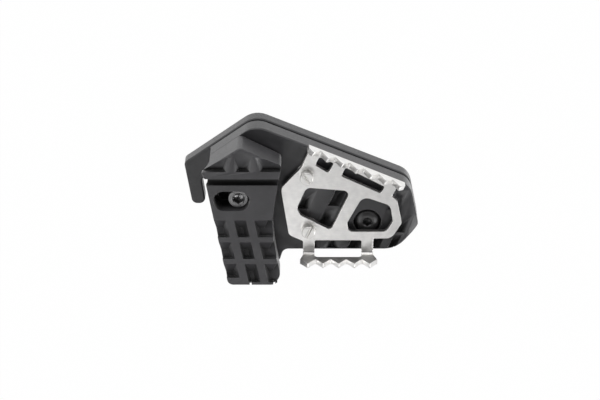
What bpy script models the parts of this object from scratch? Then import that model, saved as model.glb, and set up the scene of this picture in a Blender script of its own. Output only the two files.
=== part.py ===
# Brake pedal extension for a motorbike, lying on its back with the tread upwards.
# X runs along the plates, Y across them and Z is the tread's outward normal.
# The origin is on the back face of the rear plate, which is the mounting face.

import bpy
import bmesh
from math import acos, ceil, cos, hypot, pi, radians, sin, tan
from mathutils import Matrix, Vector

MM = 0.001

# Driving sizes
CLEAR = 0.3 * MM
SEAM = 0.15 * MM
REAR_THICK = 8.0 * MM
PLATE_GAP = 2.0 * MM
BODY_THICK = 10.0 * MM
STEP_FACE_HEIGHT = 13.0 * MM
LIP_RISE = 3.0 * MM
TREAD_STANDOFF = 2.3 * MM
SHEET = 2.7 * MM
TOP_FLANGE_HEIGHT = 9.7 * MM
BAR_FLANGE_HEIGHT = 13.7 * MM
EDGE_CHAMFER = 0.6 * MM
CHAMFER_FADE = 8.0 * MM
RIM_BREAK = 0.4 * MM
TOOL_LAP = 0.1 * MM
ARC_STEP = radians(11)
ARC_CHORD = 0.25 * MM

# Shared outline of the two plates: x, y and corner radius
APEX = (-22.4 * MM, 50.5 * MM, 11.0 * MM)
SHOULDER = (55.1 * MM, 17.7 * MM, 9.5 * MM)
NOSE = (59.6 * MM, -4.5 * MM, 3.4 * MM)
HEEL = (48.7 * MM, -18.0 * MM, 13.0 * MM)
PLATE_FOOT = -18.0 * MM

# Hook arm of the rear plate, which reaches round the pedal lever
ARM_TOP = (-58.3 * MM, 24.7 * MM, 3.0 * MM)
ARM_WIDTH = 6.9 * MM
ARM_END = 1.8 * MM
ARM_LEAN = 3.8 * MM
HOOK_TOP = 16.0 * MM
HOOK_WIDTH = 12.6 * MM
HOOK_LEAN = 2.0 * MM
HOOK_ROUNDING = 3.0 * MM

# Wing of the front body, which carries the step
BODY_LEFT = -44.5 * MM
WING_BEND = 18.0 * MM
WING_FOOT = -26.5 * MM
WING_FOOT_LEFT = -34.9 * MM
WING_RIGHT = -10.2 * MM
WING_ROOT = -8.4 * MM
WING_CUT_X = 3.5 * MM
WING_CUT_Y = 2.5 * MM

# Step block outline at its top: x, y and corner radius
STEP_PEAK = (-29.3 * MM, 45.6 * MM, 3.0 * MM)
STEP_BACK_RIGHT = (-9.0 * MM, 35.4 * MM, 2.5 * MM)
STEP_WAIST = (-14.7 * MM, 1.5 * MM, 70.0 * MM)
STEP_FRONT_RIGHT = (-9.3 * MM, -31.4 * MM, 4.5 * MM)
STEP_FRONT_LEFT = (-36.1 * MM, -31.4 * MM, 3.0 * MM)
STEP_LEFT = (-47.0 * MM, 28.7 * MM, 4.0 * MM)
STEP_TIP = (-48.4 * MM, 31.9 * MM, 1.2 * MM)
STEM_CLIMB = 6.0 * MM
STEM_FLARE = 7.5 * MM
STEM_PAST_TIP = 1.0 * MM
BACK_UNDERCUT = 1.6 * MM

# Lip, cove and pockets of the step
LIP_EDGE = 28.8 * MM
COVE_RADIUS = 2.4 * MM
LIP_RAMP_TOP = 40.6 * MM
LIP_RAMP_FOOT = 32.6 * MM
LIP_RAMP_DEPTH = 2.8 * MM
LIP_POCKET_LEFT = -32.3 * MM
LIP_POCKET_WIDTH = 8.7 * MM
LIP_RIB = 3.0 * MM
LIP_RAMP_WALL = 2.7 * MM
LIP_RAMP_TAPER = 0.8 * MM
LIP_RUN_OUT = 14.0 * MM
POCKET_DEPTH = 3.2 * MM
POCKET_FOOT_DEPTH = 2.2 * MM
POCKET_RUN_OUT = 4.8 * MM
POCKET_WIDTH = 6.0 * MM
POCKET_LEFT_RUN = 1.2 * MM
POCKET_RIGHT_RUN = 2.8 * MM
OPEN_LEAN = 0.3
OPEN_FALL = 1.6 * MM
STEP_POCKET_LENGTH = 9.4 * MM
STEP_CORNER_LENGTH = 7.8 * MM
STEP_FOOT_BORDER = 1.4 * MM
STEP_HIP = 5.7 * MM
STEP_NOTCH = 1.0 * MM
STEP_NOTCHES_AT = (-24.8 * MM, -12.95 * MM)
STEP_PITCH_X = 9.9 * MM
STEP_PITCH_Y = 12.2 * MM
STEP_SLANT = 0.2
STEP_POCKET_X = -32.8 * MM
STEP_POCKET_Y = 4.8 * MM

# Pockets of the front body's face
BODY_PITCH_X = 10.3 * MM
BODY_PITCH_Y = 12.2 * MM
BODY_SLANT = -0.45
BODY_POCKET_X = 52.9 * MM
BODY_POCKET_Y = 2.1 * MM
BODY_POCKET_LENGTH = 10.6 * MM
BODY_EDGE_WIDTHS = {(0, 0): 4.8 * MM, (0, 1): 3.8 * MM}
BODY_HIP = 7.5 * MM
BODY_SHORT_HIPS = {(4, -1): 5.6 * MM}
HIP_SHARE = 0.7
BODY_ROW_DROP = 0.068
BODY_POCKETS = [(0, 0), (4, 0), (1, -1), (4, -1), (5, -2), (0, 1), (1, 1), (2, 1), (3, 1), (4, 1)]
BODY_BORDER = 0.9 * MM
RELIEF_POCKET = (3.1 * MM, 15.6 * MM)
RELIEF_LENGTH = 10.8 * MM
NOSE_FACET = [(57.7 * MM, 1.8 * MM), (55.4 * MM, -5.1 * MM), (54.8 * MM, -10.0 * MM)]
NOSE_FACET_SLOPE = radians(20)
NOSE_FACET_REACH = 7.0 * MM

# Slot and socket screw that clamp the step
STEP_SCREW_AT = (-30.5 * MM, 15.3 * MM)
SLOT_TRAVEL = 7.0 * MM
SLOT_FLOOR = 3.7 * MM
STEP_SHANK = 3.0 * MM
STEP_HEAD = 5.0 * MM
STEP_HEAD_HEIGHT = 6.0 * MM
STEP_HEX = 5.0 * MM
STEP_HEX_DEPTH = 3.0 * MM
STEP_SCREW_PAST = 1.5 * MM

# Flanged screw and flanged nut that clamp the two plates on the pedal
CLAMP_AT = (33.85 * MM, -2.7 * MM)
CLAMP_HEAD = 6.8 * MM
CLAMP_HEAD_HEIGHT = 4.0 * MM
CLAMP_RIM = 1.3 * MM
CLAMP_RIM_BREAK = 0.2 * MM
CLAMP_DOME_STEP = 0.6 * MM
CLAMP_HEX = 4.0 * MM
CLAMP_HEX_DEPTH = 2.6 * MM
CLAMP_SHANK = 3.0 * MM
CLAMP_NUT_BARREL = 4.5 * MM
CLAMP_NUT_FLANGE = 6.5 * MM
CLAMP_NUT_RIM = 1.6 * MM

# Countersunk screws that join the plates from behind
JOINING_AT = {"left": (-20.5 * MM, 36.0 * MM), "right": (-22.0 * MM, -9.0 * MM)}
JOINING_SHANK = 2.5 * MM
JOINING_HEAD = 4.8 * MM
JOINING_HEX = 3.0 * MM
JOINING_HEX_DEPTH = 2.0 * MM

# Tread screws with slotted heads
TREAD_SCREWS_AT = {"upper": (3.3 * MM, 25.3 * MM), "lower": (4.2 * MM, -4.5 * MM)}
TREAD_SLOTS = {"upper": radians(-58), "lower": radians(66)}
TREAD_SHANK = 2.0 * MM
TREAD_HEAD = 3.4 * MM
TREAD_HEAD_HEIGHT = 3.6 * MM
TREAD_SLOT_WIDTH = 1.0 * MM
TREAD_SLOT_DEPTH = 1.5 * MM

# Rings and inserts
RING_BREAK = 0.12
INSERT_WALL = 1.3 * MM
INSERT_LENGTH = 7.0 * MM
SPACER_WALL = 2.7 * MM

# Toothed flanges of the tread plate
BEND_RADIUS = 1.2 * MM
TOOTH_PITCH = 7.75 * MM
TOOTH_DEPTH = 4.2 * MM
TOOTH_FLAT = 0.6 * MM
TOP_FLANGE = ((4.5 * MM, 42.64 * MM), (52.0 * MM, 22.1 * MM))
TOP_TEETH = 7
TOP_FIRST_TOOTH = 2.7 * MM
TOP_FREE_ENDS = (3.2 * MM, 2.4 * MM)
TOP_END_ROUNDING = 2.0 * MM
SHEET_PAST_FREE = 1.8 * MM
FREE_LAP_REACH = 8.7 * MM
FLANGE_LAP = 2.5 * MM
LEG_LEFT = (1.5 * MM, 7.3 * MM)
LEG_RIGHT = (30.9 * MM, 36.75 * MM)
BAR_FACE = -20.3 * MM
BAR_PAST_LEGS = (1.55 * MM, 1.95 * MM)
BOTTOM_TEETH = 5
BAR_HEIGHT = 7.0 * MM
BAR_FLARE = 1.2 * MM
SHEET_FOOT = (-10.4 * MM, -9.4 * MM)
SHEET_FOOT_STEP = 0.4 * MM
FOOT_ROUNDING = 1.0 * MM

# Corners of the tread's flat and of its windows, in mm: x, y and corner radius
SHEET_LEFT = [(0.4, 29.6, 6.0), (-9.6, 18.6, 5.0), (-5.6, -7.4, 3.0)]
SHEET_RIGHT = [(45.8, -9.4, 5.0), (50.9, -0.8, 2.5), (48.4, 11.6, 3.0), (45.6, 14.0, 1.2)]
WINDOWS = {
    "left": [(3.2, 18.9, 3.2), (-1.6, 7.6, 3.0), (0.4, 3.6, 2.0), (15.4, -4.6, 1.8), (25.0, 17.0, 2.4)],
    "right": [
        (31.2, 14.1, 4.4), (23.6, -0.6, 1.5), (24.2, -5.6, 2.6),
        (43.2, -5.5, 3.6), (46.4, 0.2, 2.4), (45.0, 9.0, 4.0),
    ],
    "upper_left": [(9.6, 35.6, 0.8), (7.4, 31.2, 1.0), (13.9, 27.0, 1.0), (16.7, 32.2, 0.8)],
    "upper_right": [(22.5, 29.9, 0.8), (20.4, 25.2, 1.0), (40.0, 15.8, 1.0), (42.0, 19.4, 0.8)],
}

# Levels worked out from the driving sizes
BODY_BACK = REAR_THICK + PLATE_GAP
FACE = BODY_BACK + BODY_THICK
STEP_FOOT = FACE + SEAM
STEP_FACE = FACE + STEP_FACE_HEIGHT
STEP_TOP = STEP_FACE + LIP_RISE
SHEET_BACK = FACE + TREAD_STANDOFF
SHEET_TOP = SHEET_BACK + SHEET
BAR_TOP = SHEET_BACK + BAR_FLANGE_HEIGHT
BEYOND = 3.0 * MM
FAR = 70.0 * MM
BAR_RIGHT = LEG_RIGHT[1] + BAR_PAST_LEGS[1]
BAR_LEFT = LEG_LEFT[0] - BAR_PAST_LEGS[0]
BOTTOM_FLANGE = ((BAR_RIGHT, BAR_FACE), (BAR_LEFT, BAR_FACE))


def clear_scene():
    """Remove every object that the scene holds."""
    for item in list(bpy.data.objects):
        bpy.data.objects.remove(item, do_unlink=True)


def finish_material(name, colour, metallic, roughness):
    """A plain metal finish."""
    material = bpy.data.materials.new(name)
    material.use_nodes = True
    shader = material.node_tree.nodes["Principled BSDF"]
    shader.inputs["Base Color"].default_value = (*colour, 1.0)
    shader.inputs["Metallic"].default_value = metallic
    shader.inputs["Roughness"].default_value = roughness
    return material


def add_object(name, bm, material=None):
    """Turn a bmesh into an object of the scene."""
    bmesh.ops.recalc_face_normals(bm, faces=bm.faces)
    mesh = bpy.data.meshes.new(name)
    bm.to_mesh(mesh)
    bm.free()
    item = bpy.data.objects.new(name, mesh)
    bpy.context.scene.collection.objects.link(item)
    if material:
        mesh.materials.append(material)
    return item


def hide_tool(tool):
    """Show a cutting or joining body as wire only."""
    tool.hide_render = True
    tool.display_type = "WIRE"


def combine(target, tool, operation):
    """Give the target a Boolean with a hidden body."""
    hide_tool(tool)
    modifier = target.modifiers.new(tool.name, "BOOLEAN")
    modifier.operation = operation
    modifier.solver = "EXACT"
    modifier.object = tool


def cut(target, *tools):
    """Take each tool's volume out of the target."""
    for tool in tools:
        combine(target, tool, "DIFFERENCE")


def fuse(target, *tools):
    """Add each tool's volume to the target."""
    for tool in tools:
        combine(target, tool, "UNION")


def gather(name, tools):
    """Join bodies that lie apart into one, so that one Boolean makes all their cuts."""
    bm = bmesh.new()
    for tool in tools:
        bm.from_mesh(tool.data)
        bpy.data.objects.remove(tool, do_unlink=True)
    return add_object(name, bm)


def rounded(corners):
    """Closed outline through x, y, radius corners, each rounded by an arc."""
    outline = []
    count = len(corners)
    for index, (x, y, radius) in enumerate(corners):
        here = Vector((x, y))
        before = Vector(corners[index - 1][:2]) - here
        after = Vector(corners[(index + 1) % count][:2]) - here
        reach = 0.49 * min(before.length, after.length)
        before.normalize()
        after.normalize()
        half = acos(max(-1.0, min(1.0, before.dot(after)))) / 2
        if radius <= 0 or half > 0.499 * pi:
            outline.append(here)
            continue
        tangent = min(radius / tan(half), reach)
        radius = tangent * tan(half)
        centre = here + (before + after).normalized() * hypot(tangent, radius)
        start = here + before * tangent - centre
        sweep = pi - 2 * half
        turn = sweep if before.cross(after) < 0 else -sweep
        finest = int(sweep * radius / ARC_CHORD)
        steps = max(2, min(finest, ceil(sweep / ARC_STEP)))
        for step in range(steps + 1):
            angle = turn * step / steps
            outline.append(centre + Matrix.Rotation(angle, 2) @ start)
    return outline


def inset(outline, distance):
    """Outline moved inwards by a distance, for a counter-clockwise outline."""
    moved = []
    count = len(outline)
    for index, here in enumerate(outline):
        ahead = (outline[(index + 1) % count] - here).normalized()
        behind = (here - outline[index - 1]).normalized()
        normal = Vector((-ahead.y - behind.y, ahead.x + behind.x)).normalized()
        share = max(0.3, normal.dot(Vector((-ahead.y, ahead.x))))
        moved.append(here + normal * distance / share)
    return moved


def loft(name, sections, material=None):
    """Closed body through (outline, z) sections that have the same point count."""
    bm = bmesh.new()
    rings = [[bm.verts.new((p.x, p.y, z)) for p in outline] for outline, z in sections]
    bm.faces.new(list(reversed(rings[0])))
    bm.faces.new(rings[-1])
    count = len(rings[0])
    for lower, upper in zip(rings, rings[1:]):
        for index in range(count):
            following = (index + 1) % count
            bm.faces.new((lower[index], lower[following], upper[following], upper[index]))
    return add_object(name, bm, material)


def plate(name, outline, low, high, chamfer, material, plain_left=None):
    """Flat plate with both rims chamfered, the upper one only right of plain_left."""
    small = inset(outline, chamfer)
    top = small
    if plain_left is not None:
        shares = [min(1.0, max(0.0, (p.x - plain_left) / CHAMFER_FADE)) for p in outline]
        top = [full.lerp(less, share) for full, less, share in zip(outline, small, shares)]
    levels = [(small, low), (outline, low + chamfer), (outline, high - chamfer), (top, high)]
    return loft(name, levels, material)


def turned(name, profile, at, segments=40, material=None):
    """Body turned from a profile of (radius, z), closed on the axis at both ends."""
    bm = bmesh.new()
    rings = []
    for radius, z in profile:
        ring = []
        for index in range(segments):
            angle = 2 * pi * index / segments
            ring.append(bm.verts.new((at[0] + radius * cos(angle), at[1] + radius * sin(angle), z)))
        rings.append(ring)
    bm.faces.new(rings[0])
    bm.faces.new(rings[-1])
    for lower, upper in zip(rings, rings[1:]):
        for index in range(segments):
            following = (index + 1) % segments
            bm.faces.new((lower[index], lower[following], upper[following], upper[index]))
    item = add_object(name, bm, material)
    item.data.shade_smooth()
    item.data.set_sharp_from_angle(angle=radians(35))
    return item


def ring(name, inner, wall, reach, at, material):
    """Plain ring, such as a spacer or a threaded insert, with its rims broken."""
    bm = bmesh.new()
    low, high = reach
    outer = inner + wall
    segments = 28
    broken = RING_BREAK * wall
    section = [(inner, low), (outer - broken, low), (outer, low + broken)]
    section += [(outer, high - broken), (outer - broken, high), (inner, high)]
    loops = []
    for index in range(segments):
        angle = 2 * pi * index / segments
        side = Vector((cos(angle), sin(angle), 0.0))
        centre = Vector((at[0], at[1], 0.0))
        loops.append([bm.verts.new(centre + side * r + Vector((0, 0, z))) for r, z in section])
    for index, here in enumerate(loops):
        following = loops[(index + 1) % segments]
        for k in range(len(section)):
            n = (k + 1) % len(section)
            bm.faces.new((here[k], following[k], following[n], here[n]))
    item = add_object(name, bm, material)
    item.data.shade_smooth()
    item.data.set_sharp_from_angle(angle=radians(35))
    return item


def drill(name, radius, low, high, at, segments=32):
    """Round cutter."""
    return turned(name, [(radius, low), (radius, high)], at, segments)


def hexagon_tool(name, across_flats, low, high, at):
    """Cutter for a hexagon socket."""
    corner = across_flats / 2 / cos(pi / 6)
    return turned(name, [(corner, low), (corner, high)], at, 6)


def block_tool(name, width, depth, low, high, at, angle):
    """Rectangular cutter turned about Z."""
    turn = Matrix.Rotation(angle, 2)
    centre = Vector(at)
    corners = [(-1, -1), (1, -1), (1, 1), (-1, 1)]
    outline = [centre + turn @ Vector((a * width / 2, b * depth / 2)) for a, b in corners]
    return loft(name, [(outline, low), (outline, high)])


def extruded(name, profile, place, reach, material=None):
    """Closed body that carries a flat profile along a straight way.

    place(a, b, way) gives the point of the profile's (a, b) at a distance along the way."""
    bm = bmesh.new()
    sides = [[bm.verts.new(place(a, b, way)) for a, b in profile] for way in reach]
    bm.faces.new(sides[0])
    bm.faces.new(list(reversed(sides[1])))
    count = len(profile)
    for index in range(count):
        following = (index + 1) % count
        bm.faces.new((sides[0][index], sides[1][index], sides[1][following], sides[0][following]))
    return add_object(name, bm, material)


def hull(name, points):
    """Smallest convex body round the points."""
    bm = bmesh.new()
    verts = [bm.verts.new(point) for point in points]
    result = bmesh.ops.convex_hull(bm, input=verts)
    loose = [g for g in result["geom_interior"] if isinstance(g, bmesh.types.BMVert)]
    bmesh.ops.delete(bm, geom=loose, context="VERTS")
    bmesh.ops.dissolve_limit(bm, angle_limit=radians(0.5), verts=bm.verts, edges=bm.edges)
    return add_object(name, bm)


def on_line(first, second, x):
    """Height at x of the straight line through two corners."""
    share = (x - first[0]) / (second[0] - first[0])
    return first[1] + share * (second[1] - first[1])


def pocket_tools(name, corner, face, slant, length, hip, opens=(), width=POCKET_WIDTH):
    """Cutters for one milled pocket with a long sloping back, uneven sides and a narrow floor.

    The corner is the rim's upper left one, and the pocket runs from it towards -Y,
    leaning by slant.  A side named in opens runs out past the block's edge: the left
    one with a level floor, the right one with a flat shelf that falls away."""
    above = face + CLEAR
    left = -POCKET_RUN_OUT if "left" in opens else 0.0
    share = min(1.0, width / POCKET_WIDTH)
    floor_left = left if "left" in opens else POCKET_LEFT_RUN * share
    right_run = (OPEN_LEAN + slant) * hip if "right" in opens else POCKET_RIGHT_RUN * share
    floor_right = width - right_run

    def place(x, y, z):
        return Vector((corner[0] + x - slant * y, corner[1] + y, z))

    rim = [place(x, y, z) for x in (left, width) for y in (0.0, -length) for z in (face, above)]
    floor = [place(x, -hip, face - POCKET_DEPTH) for x in (floor_left, floor_right)]
    floor += [place(x, -length, face - POCKET_FOOT_DEPTH) for x in (floor_left, floor_right)]
    tools = [hull(name, rim + floor)]
    if "right" in opens:
        far = width + POCKET_RUN_OUT
        edge = floor_right - TOOL_LAP
        climb = (POCKET_DEPTH - POCKET_FOOT_DEPTH) / (length - hip)
        points = []
        for x, y in ((width, 0.0), (edge, -hip), (edge, -length), (far, -length), (far, 0.0)):
            fall = OPEN_FALL * (x - edge) / (far - edge)
            depth = POCKET_FOOT_DEPTH + climb * (y + length) + fall
            points += [place(x, y, face - depth), place(x, y, above)]
        tools.append(hull(name + "_shelf", points))
    return tools


def rear_plate_outline():
    """Plate with the hook arm on the left and the hook's mouth open downwards."""
    arm_foot = ARM_TOP[0] + ARM_LEAN
    hook_left = ARM_TOP[0] + ARM_LEAN + ARM_WIDTH
    mouth_left = hook_left - HOOK_LEAN
    mouth_right = mouth_left + HOOK_WIDTH
    return rounded([
        APEX,
        ARM_TOP,
        (arm_foot, ARM_END, ARM_WIDTH * 0.42),
        (hook_left, ARM_END, ARM_WIDTH * 0.42),
        (mouth_left, HOOK_TOP, HOOK_ROUNDING / 2),
        (mouth_right, HOOK_TOP, HOOK_ROUNDING),
        (mouth_right, PLATE_FOOT, HOOK_ROUNDING),
        HEEL,
        NOSE,
        SHOULDER,
    ])


def body_outline():
    """Front body with the wing that backs the step."""
    return rounded([
        APEX,
        (BODY_LEFT, on_line(ARM_TOP, APEX, BODY_LEFT), 0.0),
        (BODY_LEFT, WING_BEND, 4.0 * MM),
        (WING_FOOT_LEFT, WING_FOOT, 2.0 * MM),
        (WING_RIGHT - WING_CUT_X, WING_FOOT, 2.0 * MM),
        (WING_RIGHT, WING_FOOT + WING_CUT_Y, EDGE_CHAMFER * 2),
        (WING_ROOT, PLATE_FOOT, 3.5 * MM),
        HEEL,
        NOSE,
        SHOULDER,
    ])


def make_rear_plate(material):
    """Machined plate that lies behind the pedal and hooks round its lever."""
    item = plate("rear_plate", rear_plate_outline(), 0.0, REAR_THICK, EDGE_CHAMFER, material)
    flange_depth = CLAMP_NUT_RIM + CLEAR
    cut(
        item,
        drill("rear_clamp_hole", CLAMP_NUT_BARREL + CLEAR, -BEYOND, REAR_THICK + BEYOND, CLAMP_AT),
        drill("rear_clamp_seat", CLAMP_NUT_FLANGE + CLEAR, -BEYOND, flange_depth, CLAMP_AT, 40),
    )
    for side, at in JOINING_AT.items():
        low_radius = JOINING_HEAD + CLEAR
        top_radius = JOINING_SHANK + CLEAR
        sink = low_radius - top_radius
        profile = [(low_radius, -BEYOND), (low_radius, 0.0), (top_radius, sink)]
        profile.append((top_radius, REAR_THICK + BEYOND))
        cut(item, turned("rear_countersink_" + side, profile, at, 32))
    return item


def make_front_body(material):
    """Machined body in front of the pedal, with a milled face."""
    item = plate("front_body", body_outline(), BODY_BACK, FACE, EDGE_CHAMFER, material, STEP_PEAK[0])
    above = FACE + BEYOND
    below = BODY_BACK - BEYOND
    sleeve = INSERT_WALL + CLEAR * 2
    depth = INSERT_LENGTH + CLEAR * 2
    seat = FACE - CLAMP_HEAD_HEIGHT - CLEAR
    hole = CLAMP_SHANK + CLEAR
    head = CLAMP_HEAD + CLEAR
    bores = [turned("clamp_bore", [(hole, below), (hole, seat), (head, seat), (head, above)], CLAMP_AT, 56)]
    bores.append(drill("step_bore", STEP_SHANK + sleeve, below, above, STEP_SCREW_AT))
    for side, at in TREAD_SCREWS_AT.items():
        bores.append(drill("tread_bore_" + side, TREAD_SHANK + sleeve, FACE - depth, above, at, 24))
    for side, at in JOINING_AT.items():
        name = "joining_bore_" + side
        bores.append(drill(name, JOINING_SHANK + sleeve, below, BODY_BACK + depth, at, 24))
    cut(item, gather("body_bores", bores))
    cut(item, *pocket_tools("relief", RELIEF_POCKET, FACE, BODY_SLANT, RELIEF_LENGTH, BODY_HIP))
    for column, row in BODY_POCKETS:
        top = BODY_POCKET_Y - row * BODY_PITCH_Y + column * BODY_PITCH_X * BODY_ROW_DROP
        corner = (BODY_POCKET_X - column * BODY_PITCH_X - BODY_SLANT * (top - BODY_POCKET_Y), top)
        length = min(BODY_POCKET_LENGTH, top - PLATE_FOOT - BODY_BORDER)
        hip = min(BODY_SHORT_HIPS.get((column, row), BODY_HIP), length * HIP_SHARE)
        width = BODY_EDGE_WIDTHS.get((column, row), POCKET_WIDTH)
        name = "body_pocket_%d_%d" % (column, row + 2)
        cut(item, *pocket_tools(name, corner, FACE, BODY_SLANT, length, hip, width=width))
    cut(item, nose_facet_tool())
    return item


def nose_facet_tool():
    """Facet beside the last pocket, which falls away to the body's outer edge."""
    fall = NOSE_FACET_REACH * tan(NOSE_FACET_SLOPE)
    points = []
    for x, y in NOSE_FACET:
        points += [(x, y, FACE), (x, y, FACE + CLEAR)]
        points += [(x + NOSE_FACET_REACH, y, FACE - fall), (x + NOSE_FACET_REACH, y, FACE + CLEAR)]
    return hull("nose_facet", points)


def step_outline():
    """Step seen from above."""
    tip = (STEP_TIP[0], on_line(ARM_TOP, APEX, STEP_TIP[0]), STEP_TIP[2])
    peak = (STEP_PEAK[0], on_line(ARM_TOP, APEX, STEP_PEAK[0]), STEP_PEAK[2])
    return rounded([peak, tip, STEP_LEFT, STEP_FRONT_LEFT, STEP_FRONT_RIGHT, STEP_WAIST, STEP_BACK_RIGHT])


def make_step_block(material):
    """Milled step with a raised lip, a cove, a clamping slot and rows of pockets."""
    outline = step_outline()
    top = inset(outline, EDGE_CHAMFER)
    levels = [(outline, STEP_FOOT), (outline, STEP_TOP - EDGE_CHAMFER), (top, STEP_TOP)]
    item = loft("step_block", levels, material)
    cut(
        item,
        step_face_tool(),
        stem_tool(),
        back_undercut_tool(),
        slot_tool("step_slot", STEP_SHANK + CLEAR, STEP_FOOT - BEYOND, STEP_FACE + BEYOND),
        slot_tool("step_counterbore", STEP_HEAD + CLEAR, STEP_FOOT + SLOT_FLOOR, STEP_FACE + BEYOND),
    )
    cut(item, *lip_pocket_tools())
    cut(item, *step_pocket_tools())
    return item


def step_face_tool():
    """Clears the lip's height in front of it and rounds the cove at its foot."""
    cove = LIP_EDGE - COVE_RADIUS
    high = STEP_TOP + BEYOND
    profile = [(LIP_EDGE, high), (-FAR, high), (-FAR, STEP_FACE), (cove - COVE_RADIUS, STEP_FACE)]
    steps = 10
    for step in range(1, steps + 1):
        angle = pi + pi * step / steps
        profile.append((cove + COVE_RADIUS * cos(angle), STEP_FACE + COVE_RADIUS * sin(angle)))
    return extruded("step_face_cut", profile, lambda y, z, x: (x, y, z), (-FAR, FAR))


def stem_tool():
    """Takes the left side back to the body's end wall and flares it out to the tip."""
    wall_top = STEP_FOOT + STEM_CLIMB
    reach = BODY_LEFT - STEP_TIP[0] + STEM_PAST_TIP
    outside = BODY_LEFT - reach - BEYOND
    profile = [(outside, STEP_FOOT - BEYOND), (BODY_LEFT, STEP_FOOT - BEYOND), (BODY_LEFT, wall_top)]
    steps = 8
    for step in range(1, steps + 1):
        angle = pi / 2 * step / steps
        profile.append((BODY_LEFT - reach * (1 - cos(angle)), wall_top + STEM_FLARE * sin(angle)))
    profile.append((outside, wall_top + STEM_FLARE))
    return extruded("stem_cut", profile, lambda x, z, y: (x, y, z), (-FAR, FAR))


def back_undercut_tool():
    """Wedge-shaped relief at the foot of the back wall, which deepens to the right."""
    peak = Vector((STEP_PEAK[0], on_line(ARM_TOP, APEX, STEP_PEAK[0])))
    right = Vector(STEP_BACK_RIGHT[:2])
    along = (right - peak).normalized()
    inward = Vector((along.y, -along.x))
    low = STEP_FOOT - BEYOND
    points = []
    ends = [(peak + along * BEYOND, BACK_UNDERCUT / 3), (right + along * BEYOND * 3, BACK_UNDERCUT)]
    for place, rise in ends:
        for side in (BACK_UNDERCUT, -BEYOND * 3):
            points += [(*(place + inward * side), z) for z in (low, STEP_FOOT + rise)]
    return hull("back_undercut", points)


def slot_tool(name, radius, low, high):
    """Long slot along X, whose right end takes the screw."""
    x, y = STEP_SCREW_AT
    right = x + radius + CLEAR
    left = x - SLOT_TRAVEL - radius
    outline = rounded([
        (left, y - radius, radius),
        (right, y - radius, radius),
        (right, y + radius, radius),
        (left, y + radius, radius),
    ])
    return loft(name, [(outline, low), (outline, high)])


def lip_pocket_tools():
    """Three ramps cut into the lip, the outer two open to the sloping sides."""
    tools = []
    pitch = LIP_POCKET_WIDTH + LIP_RIB
    for index in (-1, 0, 1):
        left = LIP_POCKET_LEFT + index * pitch
        right = left + LIP_POCKET_WIDTH
        outer_left = left - LIP_RUN_OUT if index == -1 else left
        outer_right = right + LIP_RUN_OUT if index == 1 else right
        floor_left = outer_left if index == -1 else left + LIP_RAMP_WALL
        floor_right = outer_right if index == 1 else right - LIP_RAMP_WALL
        above = STEP_TOP + CLEAR
        taper = LIP_RAMP_TAPER
        top = LIP_RAMP_TOP
        points = [(outer_left, top, above), (outer_right, top, above)]
        points += [(outer_left, top, STEP_TOP), (outer_right, top, STEP_TOP)]
        for z in (above, STEP_TOP):
            points += [(outer_left + taper * (index != -1), LIP_RAMP_FOOT, z)]
            points += [(outer_right - taper * (index != 1), LIP_RAMP_FOOT, z)]
        depth = STEP_TOP - LIP_RAMP_DEPTH
        points += [(floor_left, LIP_RAMP_FOOT, depth), (floor_right, LIP_RAMP_FOOT, depth)]
        tools.append(hull("lip_ramp_%d" % (index + 1), points))
    return tools


def step_pocket_tools():
    """Three rows of three pockets, the outer columns open to the sides."""
    tools = []
    for row in range(3):
        top = STEP_POCKET_Y - row * STEP_PITCH_Y
        edge = on_line(STEP_WAIST[1::-1], STEP_FRONT_RIGHT[1::-1], top) - EDGE_CHAMFER
        for column, sides in ((-1, ["left"]), (0, []), (1, ["right"])):
            left = STEP_POCKET_X + column * STEP_PITCH_X + STEP_SLANT * row * STEP_PITCH_Y
            width = POCKET_WIDTH if column < 1 else edge - left
            length = STEP_POCKET_LENGTH
            if row == 2 and column == -1:
                length = STEP_CORNER_LENGTH
            elif row == 2:
                length = top - STEP_FRONT_LEFT[1] - STEP_FOOT_BORDER
            name = "step_pocket_%d_%d" % (row, column + 1)
            tools += pocket_tools(name, (left, top), STEP_FACE, STEP_SLANT, length, STEP_HIP, sides, width)
    foot = STEP_FRONT_LEFT[1]
    low = STEP_FACE - POCKET_FOOT_DEPTH + TOOL_LAP
    high = STEP_FACE + CLEAR
    for index, x in enumerate(STEP_NOTCHES_AT):
        middle = (x, foot + STEP_FOOT_BORDER / 2)
        depth = STEP_FOOT_BORDER + RIM_BREAK * 2
        tools.append(block_tool("step_notch_%d" % index, STEP_NOTCH, depth, low, high, middle, 0.0))
    return tools


def flange_frame(line):
    """Start, direction, inward direction and length of a flange's outer face."""
    start = Vector(line[0])
    along = (Vector(line[1]) - start).normalized()
    return start, along, Vector((along.y, -along.x)), (Vector(line[1]) - start).length


def flange(name, line, height, first_tooth, teeth, free_ends=None):
    """Bent-up strip with a round bend and a toothed top edge.

    The line is the outer face, and the sheet lies on its right-hand side."""
    start, along, inward, length = flange_frame(line)
    outer = BEND_RADIUS + SHEET
    lap = outer + FLANGE_LAP
    top = SHEET_BACK + height
    profile = [(lap, SHEET_BACK), (lap, SHEET_TOP), (outer, SHEET_TOP)]
    steps = 6
    for step in range(1, steps + 1):
        angle = pi / 2 * step / steps
        profile.append((outer - BEND_RADIUS * sin(angle), SHEET_BACK + outer - BEND_RADIUS * cos(angle)))
    profile += [(SHEET, top), (0.0, top)]
    for step in range(steps + 1):
        angle = pi / 2 * step / steps
        profile.append((outer - outer * cos(angle), SHEET_BACK + outer - outer * sin(angle)))

    def place(across, z, way):
        return (*(start + along * way + inward * across), z)

    item = extruded(name, profile, place, (0.0, length))
    cut(item, tooth_tool(name + "_teeth", line, top, first_tooth, teeth))
    if free_ends:
        cut(item, *free_end_tools(line, free_ends))
    return item


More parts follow.
